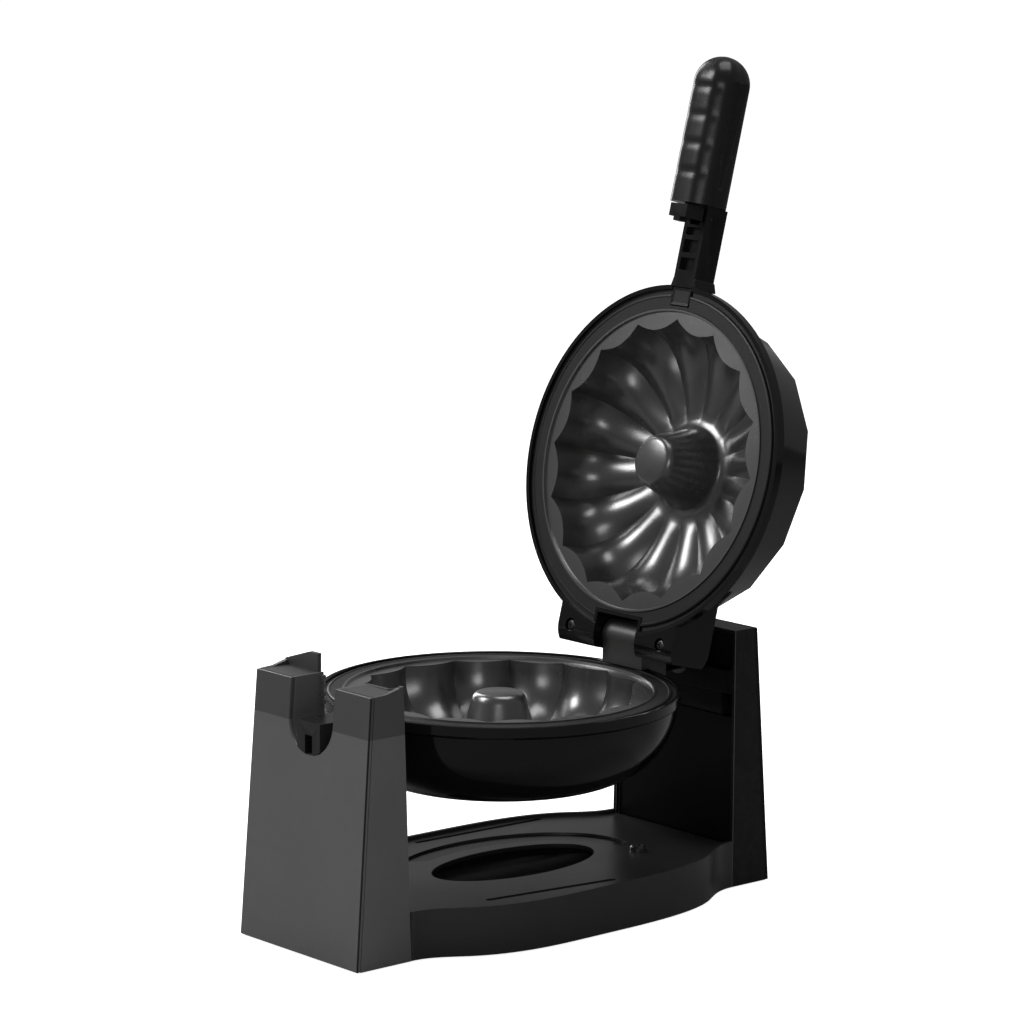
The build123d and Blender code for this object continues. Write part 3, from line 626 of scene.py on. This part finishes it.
gripForm = {
    "start": -175.0, "length": 102.0, "radius": 19.2, "sides": 72, "rings": 44, "tipRings": 12,
    # squarer section: how flat its sides are, and the power that draws its corners
    "flat": 0.925, "power": 2.9, "core": 0.5,
    # finger hollows: where along the grip, how deep, half their width
    "hollows": (0.2, 0.39, 0.58, 0.77), "hollowDepth": 0.5, "hollowWidth": 4.4, "match": 0.1,
    # lowest and highest point that a hollow draws up, and the share of its depth
    "hollowBands": ((-20.5, -13.0, 1.0), (-13.0, -9.0, 0.25)),
    # sunk side panel: half heights at neck and tip, ends, depth; its cutter's sides, corner and place
    "panel": {"near": 3.0, "far": 9.0, "from": -186.0, "to": -262.0, "sink": 0.8, "inner": 15, "outer": 25,
              "endRoom": 5, "drop": -2, "corner": 2.5, "lift": 1.5},
    "split": 0.05, "edge": 0.45, "edgeAngle": 35,
}


def drawBar():
    # A round bar along the grip, ring by ring, closed with a round tip.
    f = gripForm
    tip = f["start"] - f["length"] + f["radius"]
    step = (tip - f["start"]) / f["rings"]
    bpy.ops.object.select_all(action="DESELECT")
    bpy.ops.mesh.primitive_circle_add(vertices=f["sides"], radius=f["radius"] * mm, fill_type="NGON",
                                      location=(0, f["start"] * mm, 0), rotation=(math.pi / 2, 0, 0))
    bar = bpy.context.object
    bar.name = "grip"
    settle(bar)
    openMesh(bar)
    bpy.ops.mesh.select_all(action="SELECT")
    for _ in range(f["rings"]):
        bpy.ops.mesh.extrude_region_move(TRANSFORM_OT_translate={"value": (0, step * mm, 0)})
    here, y = 1.0, tip
    for index in range(1, f["tipRings"]):
        turn = math.pi / 2 * index / f["tipRings"]
        share = math.cos(turn)
        there = tip - f["radius"] * math.sin(turn)
        bpy.ops.mesh.extrude_region_move(TRANSFORM_OT_translate={"value": (0, (there - y) * mm, 0)})
        y = there
        bpy.ops.transform.resize(value=(share / here, 1, share / here), center_override=(0, y * mm, 0))
        here = share
    last = (f["start"] - f["length"] - y) * mm
    bpy.ops.mesh.extrude_region_move(TRANSFORM_OT_translate={"value": (0, last, 0)})
    bpy.ops.mesh.merge(type="CENTER")
    closeMesh()
    return facesOut(bar), step


def squareUp(grip):
    # Each run of points along the grip is drawn in by the same share.
    f = gripForm
    runs = {}
    for v in grip.data.vertices:
        if math.hypot(v.co.x, v.co.z) > f["core"] * mm:
            degrees = round(math.degrees(math.atan2(v.co.z, v.co.x))) % 90
            runs.setdefault(degrees, []).append(v.index)
    for degrees, members in runs.items():
        turn = math.radians(degrees)
        total = abs(math.cos(turn)) ** f["power"] + abs(math.sin(turn)) ** f["power"]
        share = min(1.0, f["flat"] * total ** (-1 / f["power"]))
        pickMembers(grip, members)
        bpy.ops.transform.resize(value=(share, 1, share), center_override=(0, 0, 0))
        closeMesh()


def pressHollows(grip, step):
    # Finger hollows along the underside, ring by ring.
    f = gripForm
    for along in f["hollows"]:
        middle = (f["start"] - f["length"] * along) * mm
        for ring in range(f["rings"] + 1):
            y = f["start"] * mm + step * mm * ring
            near = abs(y - middle) / (f["hollowWidth"] * mm)
            if near >= 1:
                continue
            depth = f["hollowDepth"] * (math.cos(math.pi * near) + 1) / 2 * mm
            for low, high, part in f["hollowBands"]:
                pick(grip, lambda co: abs(co.y - y) < f["match"] * mm and low * mm < co.z < high * mm)
                bpy.ops.transform.translate(value=(0, 0, depth * part))
                closeMesh()


def sinkPanels(grip):
    # Sunk panel on each side, wide at the tip and narrow at the neck.
    p = gripForm["panel"]
    flat = gripForm["radius"] * gripForm["flat"] - p["sink"]
    for side in (-1, 1):
        cutter = block("panelCutter", (p["inner"], p["to"], -p["far"]), (p["outer"], p["from"], p["far"]))
        pick(cutter, lambda co: co.y > (p["from"] - p["endRoom"]) * mm)
        middle = (0, p["from"] * mm, p["drop"] * mm)
        bpy.ops.transform.resize(value=(1, 1, p["near"] / p["far"]), center_override=middle)
        closeMesh()
        finishWith(cutter, "BEVEL", width=p["corner"] * mm, segments=4, limit_method="ANGLE")
        cutter.scale = (side, 1, 1)
        cutter.location = (side * (flat * mm - p["inner"] * mm), 0, p["lift"] * mm)
        settle(cutter)
        if side < 0:
            facesOut(cutter)
        takeAway(grip, cutter)


def makeGrip():
    grip, step = drawBar()
    squareUp(grip)
    pressHollows(grip, step)
    sinkPanels(grip)
    return grip


grip = makeGrip()
for name, node, clearOuter in (("gripUpper", "grip_upper", False), ("gripLower", "grip_lower", True)):
    half = grip.copy()
    half.data = grip.data.copy()
    half.name = name
    half.data.name = name
    bpy.context.scene.collection.objects.link(half)
    level = -gripForm["split"] if clearOuter else gripForm["split"]
    openMesh(half)
    bpy.ops.mesh.select_all(action="SELECT")
    bpy.ops.mesh.bisect(plane_co=(0, 0, level * mm), plane_no=(0, 0, 1), use_fill=True,
                        clear_outer=clearOuter, clear_inner=not clearOuter)
    closeMesh()
    facesOut(half)
    eased(half, gripForm["edge"], angle=gripForm["edgeAngle"])
    settle(half, lidFrame)
    dress(half, "lid", finishes["gripPlastic"], node)
only(grip)
bpy.ops.object.delete()
print("grip split")


# pieces that keep their CAD form, with eased corners

# node: name, body, finish, width of the eased corners
casing = {
    "base_shell": ("baseShell", "stand", "baseCasing", 0.9),
    "front_tower": ("frontTower", "stand", "satinCasing", 0.6),
    "front_cover": ("frontCover", "stand", "satinCasing", 0.9),
    "notch_liner": ("notchLiner", "stand", "satinCasing", 0.3),
    # Painted shade: the rear tower, its cover and the bearing housing take the darker rear casing colour.
    "rear_tower": ("rearTower", "stand", "rearCasingPaintedShade", 1.4),
    "rear_cover": ("rearCover", "stand", "rearCasingPaintedShade", 0.8),
    "bottom_cover": ("bottomCover", "stand", "satinCasing", 0.3),
    "cord_inlet": ("cordInlet", "stand", "footRubber", 0.3),
    "bearing_housing": ("bearingHousing", "stand", "rearCasingPaintedShade", 0.8),
    # Painted light: the hinge block takes a lighter colour in place of the light on its front face.
    "hinge_block": ("hingeBlock", "cooker", "blockSatinPaintedLight", 0.8),
    "front_neck": ("frontNeck", "cooker", "gripPlastic", 0.8),
    "lid_shell": ("lidDome", "lid", "glossShell", 0.4),
    "lid_neck": ("lidNeck", "lid", "neckBlack", 0.9),
    "latch": ("latchHook", "latch", "neckBlack", 0.9),
}
# start of a kept node's name: its finish
keptNodes = {
    "foot": "footRubber", "base_screws": "steel", "rear_bush": "darkSteel", "terminal_block": "insulator",
    "lower_element": "steel", "lower_reflector": "brightPlate", "lower_pan_screws": "steel",
    "thermostat": "insulator", "thermal_fuse": "steel", "hinge_pin": "steel", "rear_axle": "darkSteel",
    "axle_ring": "darkSteel", "upper_element": "steel", "upper_thermostat": "insulator",
    "upper_reflector": "brightPlate", "lid_pan_screws": "steel", "handle_screws": "steel",
    "latch_pin": "darkSteel",
}
neckForm = {"grooves": ((-139.0, -130.5), (-151.5, -142.5), (-160.0, -154.5)), "half": 6.8, "low": -2,
            "high": 4.2}
lugForm = {"x": 44.5, "y": 120.3, "recess": 4.6, "recessDepth": 5.0, "head": 3.4, "headHeight": 1.6,
           "headTop": 0.9}
lidForm = {
    # room for the neck's tongue, between two corners
    "tongueRoom": ((-9.3, -123, -1), (9.3, -105, 3.2)),
    # the dome above this height is lifted and tilted a little
    "domeFrom": 40, "domeLift": 2.5, "domeTilt": 1.45, "tiltCentre": (0, 0, 50),
}
# Faces with a further finish, painted shade and a painted highlight among them: heights in mm, and what
# their normals pass.
capLine = 149.0
seamShade = {"front": -0.2, "side": 0.25, "from": 40}
rearEdgeHighlight = {"front": -0.3, "side": 0.3}
grooveShade = {"low": 28.2, "high": 29.9, "up": 0.9}


def carveNeck(neck):
    settle(neck, lidFrame.inverted())
    for y0, y1 in neckForm["grooves"]:
        cutAway(neck, (-neckForm["half"], y0, neckForm["low"]), (neckForm["half"], y1, neckForm["high"]))
    settle(neck, lidFrame)


def carveLid(lid):
    # Recesses for the lug screws and the tongue, and a dome a little prouder than the plain solid.
    settle(lid, lidFrame.inverted())
    for side in (-1, 1):
        place = (side * lugForm["x"], lugForm["y"], 0)
        drillAway(lid, lugForm["recess"], place, lugForm["recessDepth"])
    cutAway(lid, *lidForm["tongueRoom"])
    pick(lid, lambda co: co.z > lidForm["domeFrom"] * mm)
    bpy.ops.transform.translate(value=(0, 0, lidForm["domeLift"] * mm))
    bpy.ops.transform.rotate(value=math.radians(lidForm["domeTilt"]), orient_axis="X",
                             center_override=[v * mm for v in lidForm["tiltCentre"]])
    closeMesh()
    settle(lid, lidFrame)


def partTheCap(piece):
    # The tower's top band is a little duller: its faces are parted along a level line.
    openMesh(piece)
    bpy.ops.mesh.select_all(action="SELECT")
    bpy.ops.mesh.bisect(plane_co=(0, 0, capLine * mm), plane_no=(0, 0, 1))
    closeMesh()


def finishFor(node):
    for start, name in keptNodes.items():
        if node.startswith(start):
            return finishes[name]
    return None


def isCap(co, n):
    return co.z > capLine * mm


def isSeamShade(co, n):
    # Painted shade: the bevel faces at the cover's outer edges take a dark finish, as the shadowed seam at
    # the tower's corners.
    return n.y < seamShade["front"] and abs(n.x) > seamShade["side"] and abs(co.x) > seamShade["from"] * mm


# Painted highlight: the rear tower's front vertical corner bevel takes the lighter front casing finish.
def isRearEdgeHighlight(co, n):
    return n.y < rearEdgeHighlight["front"] and n.x > rearEdgeHighlight["side"]


def isGrooveShade(co, n):
    # Painted shade: the floor of the shallow groove round the oval takes a dark finish.
    return n.z > grooveShade["up"] and grooveShade["low"] * mm < co.z < grooveShade["high"] * mm


carving = {"lid_neck": carveNeck, "lid_shell": carveLid, "front_tower": partTheCap,
           "front_cover": partTheCap}
# The cover's edge seam and the groove floor take painted shade, and the rear tower's front corner takes a
# painted highlight.
secondLooks = (("front_tower", "capCasing", isCap), ("front_cover", "capCasing", isCap),
               ("front_cover", "neckBlack", isSeamShade), ("rear_tower", "satinCasing", isRearEdgeHighlight),
               ("base_shell", "neckBlack", isGrooveShade))

for node, (name, body, look, width) in casing.items():
    piece = copyOf(node, name)
    if node in carving:
        carving[node](piece)
    eased(piece, width)
    dress(piece, body, finishes[look], node)
    for target, extra, test in secondLooks:
        if target == node:
            secondLook(piece, extra, test)
print("casings eased")


# small pieces that the photograph shows

screwForm = {
    "shank": 2,
    # share of the radius and of the height, from under the head to its domed top
    "head": ((0.5, 1.0), (1.0, 1.0), (1.0, 0.55), (0.86, 0.2), (0.5, 0.03)),
    # cross slot: half length, half width and depth, as shares too; it is cut up to this height
    "slots": ((0.62, 0.14, 0.7), (0.14, 0.62, 0.6)), "slotTop": 1, "smooth": 35,
}
bossForm = {"outline": [(0, -1.0), (5.6, -1.0), (5.3, 2.4), (4.4, 3.4), (2.4, 3.4), (1.9, 2.4), (0, 2.3)],
            "place": (29.4, 77.5, 30.5), "smooth": 30}
rootForm = {"low": (-12.4, -125.5, 0.4), "high": (12.4, -118.6, 21.0), "end": -124, "narrow": 0.87,
            "top": 20, "drop": 1.4, "edge": 0.9}
tongueForm = {"low": (-8.5, -118.2, 0.3), "high": (8.5, -106.4, 3.0), "border": 1.5, "sink": 0.9,
              "edge": 0.35, "down": -0.9}


def crossScrew(name, radius, height):
    # A domed screw head with a cross slot, its top at zero.
    f = screwForm
    bottom = -height - f["shank"]
    outline = [(0, bottom), (radius * f["head"][0][0], bottom)]
    outline += [(radius * r, -height * z) for r, z in f["head"]] + [(0, 0)]
    screw = turned(name, outline, smallSides)
    for x, y, deep in f["slots"]:
        cutAway(screw, (-radius * x, -radius * y, -height * deep), (radius * x, radius * y, f["slotTop"]))
    return smooth(screw, f["smooth"])


def makeLugScrews():
    for side, name in ((-1, "lugScrewLeft"), (1, "lugScrewRight")):
        screw = crossScrew(name, lugForm["head"], lugForm["headHeight"])
        place = Matrix.Translation(Vector((side * lugForm["x"], lugForm["y"], lugForm["headTop"])) * mm)
        settle(screw, lidFrame @ place @ upsideDown)
        addDetail(screw, "lid", finishes["darkSteel"])


def makeBoss():
    boss = turned("baseBoss", bossForm["outline"], smallSides)
    smooth(boss, bossForm["smooth"])
    settle(boss, Matrix.Translation(Vector(bossForm["place"]) * mm))
    addDetail(boss, "stand", finishes["baseCasing"])


def makeNeckRoot():
    # Collar where the neck leaves the lid's rim, flared towards the rim.
    f = rootForm
    root = block("neckRoot", f["low"], f["high"])
    pick(root, lambda co: co.y < f["end"] * mm)
    bpy.ops.transform.resize(value=(f["narrow"], 1, 1), center_override=(0, 0, 0))
    closeMesh()
    pick(root, lambda co: co.y < f["end"] * mm and co.z > f["top"] * mm)
    bpy.ops.transform.translate(value=(0, 0, -f["drop"] * mm))
    closeMesh()
    eased(root, f["edge"], segments=3)
    settle(root, lidFrame)
    addDetail(root, "lid", finishes["neckBlack"])


def makeTongue():
    # Flat tongue of the neck, let into the lid's rim.
    f = tongueForm
    tongue = block("lidTongue", f["low"], f["high"])
    pick(tongue, lambda co, n: n.z < f["down"], "FACE")
    bpy.ops.mesh.inset(thickness=f["border"] * mm)
    bpy.ops.transform.translate(value=(0, 0, f["sink"] * mm))
    closeMesh()
    eased(tongue, f["edge"])
    settle(tongue, lidFrame)
    addDetail(tongue, "lid", finishes["panRim"])


makeLugScrews()
makeBoss()
makeNeckRoot()
makeTongue()
print("small pieces placed")

for node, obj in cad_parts.items():
    look = finishFor(node)
    if look is not None:
        obj.data.materials.clear()
        obj.data.materials.append(look)
print("inner parts finished")


# floor, light and camera

studio = {"floorSize": 60.0, "floorShade": 0.8, "floorInGloss": 0.3, "floorRough": 0.9,
          "glowToCamera": 0.85, "worldLevel": 0.24}
lamps = {
    # place, target and size in metres, power in watts
    "keySoft": ((-1.7, -1.9, 2.3), (0, 0, 0.25), (1.3, 1.3), 76.0),
    "fillSoft": ((1.75, -1.65, 0.8), (0, -0.05, 0.2), (1.0, 0.5), 8.0),
    "topSoft": ((0.2, 0.5, 2.7), (0, 0, 0.2), (1.6, 1.6), 33.0),
    "leftSoft": ((-1.6, 0.35, 0.9), (0, 0.1, 0.3), (0.5, 1.4), 14.0),
}


def makeFloor():
    # A pale floor that glows to the camera and stays darker in the shiny pieces.
    bpy.ops.object.select_all(action="DESELECT")
    bpy.ops.mesh.primitive_plane_add(size=studio["floorSize"], location=(0, 0, 0))
    floor = bpy.context.object
    floor.name = "floor"
    material = bpy.data.materials.new("paleFloor")
    material.use_nodes = True
    tree = material.node_tree
    shader = tree.nodes["Principled BSDF"]
    shade = studio["floorShade"]
    dark = shade * studio["floorInGloss"]
    shader.inputs["Roughness"].default_value = studio["floorRough"]
    shader.inputs["Specular IOR Level"].default_value = 0.0
    path = tree.nodes.new("ShaderNodeLightPath")
    tint = mixColours(tree, path.outputs["Is Glossy Ray"], (shade, shade, shade), (dark, dark, dark))
    tree.links.new(tint, shader.inputs["Base Color"])
    seen = mathNode(tree, "MAXIMUM", path.outputs["Is Camera Ray"], path.outputs["Is Transmission Ray"])
    seen = mathNode(tree, "MULTIPLY", seen, studio["glowToCamera"])
    glow = tree.nodes.new("ShaderNodeEmission")
    glow.inputs["Color"].default_value = (1, 1, 1, 1)
    tree.links.new(seen, glow.inputs["Strength"])
    both = tree.nodes.new("ShaderNodeAddShader")
    tree.links.new(shader.outputs[0], both.inputs[0])
    tree.links.new(glow.outputs[0], both.inputs[1])
    tree.links.new(both.outputs[0], tree.nodes["Material Output"].inputs["Surface"])
    floor.data.materials.append(material)


def makeWorld():
    # White to the camera, and dimmer as a light.
    world = bpy.data.worlds.new("studioWorld")
    bpy.context.scene.world = world
    world.use_nodes = True
    tree = world.node_tree
    back = tree.nodes["Background"]
    path = tree.nodes.new("ShaderNodeLightPath")
    seen = mathNode(tree, "MAXIMUM", path.outputs["Is Camera Ray"], path.outputs["Is Transmission Ray"])
    extra = mathNode(tree, "MULTIPLY", seen, 1.0 - studio["worldLevel"])
    level = mathNode(tree, "ADD", extra, studio["worldLevel"])
    back.inputs["Color"].default_value = (1, 1, 1, 1)
    tree.links.new(level, back.inputs["Strength"])


def areaLamp(name, place, target, size, power):
    light = bpy.data.lights.new(name, "AREA")
    light.shape = "RECTANGLE"
    light.size, light.size_y = size
    light.energy = power
    lamp = bpy.data.objects.new(name, light)
    bpy.context.scene.collection.objects.link(lamp)
    lamp.location = place
    toward = Vector(target) - Vector(place)
    lamp.rotation_euler = toward.to_track_quat("-Z", "Y").to_euler()


def makeCamera():
    # The photo's camera: angles in degrees, lens and sensor in mm, the rest in metres.
    shot = {"azimuth": 48.79, "elevation": 9.87, "distance": 2.71223, "lens": 144.98, "aside": -0.00152,
            "height": 0.26796, "roll": 0.47, "back": -0.010395, "sensor": 36.0, "far": 100.0}
    a, e, r = (math.radians(shot[key]) for key in ("azimuth", "elevation", "roll"))
    back = Vector((math.sin(a) * math.cos(e), -math.cos(a) * math.cos(e), math.sin(e)))
    right = Vector((math.cos(a), math.sin(a), 0))
    up = back.cross(right)
    place = right * shot["aside"] + Vector((0, shot["back"], shot["height"])) + back * shot["distance"]
    right, up = right * math.cos(r) + up * math.sin(r), up * math.cos(r) - right * math.sin(r)
    data = bpy.data.cameras.new("photoCamera")
    data.lens = shot["lens"]
    data.sensor_width = shot["sensor"]
    data.clip_end = shot["far"]
    camera = bpy.data.objects.new("photoCamera", data)
    bpy.context.scene.collection.objects.link(camera)
    matrix = Matrix((right, up, back)).transposed().to_4x4()
    matrix.translation = place
    camera.matrix_world = matrix
    bpy.context.scene.camera = camera


makeFloor()
makeWorld()
for name, (place, target, size, power) in lamps.items():
    areaLamp(name, place, target, size, power)
makeCamera()
bpy.context.scene.view_settings.view_transform = "Standard"
print("studio ready")
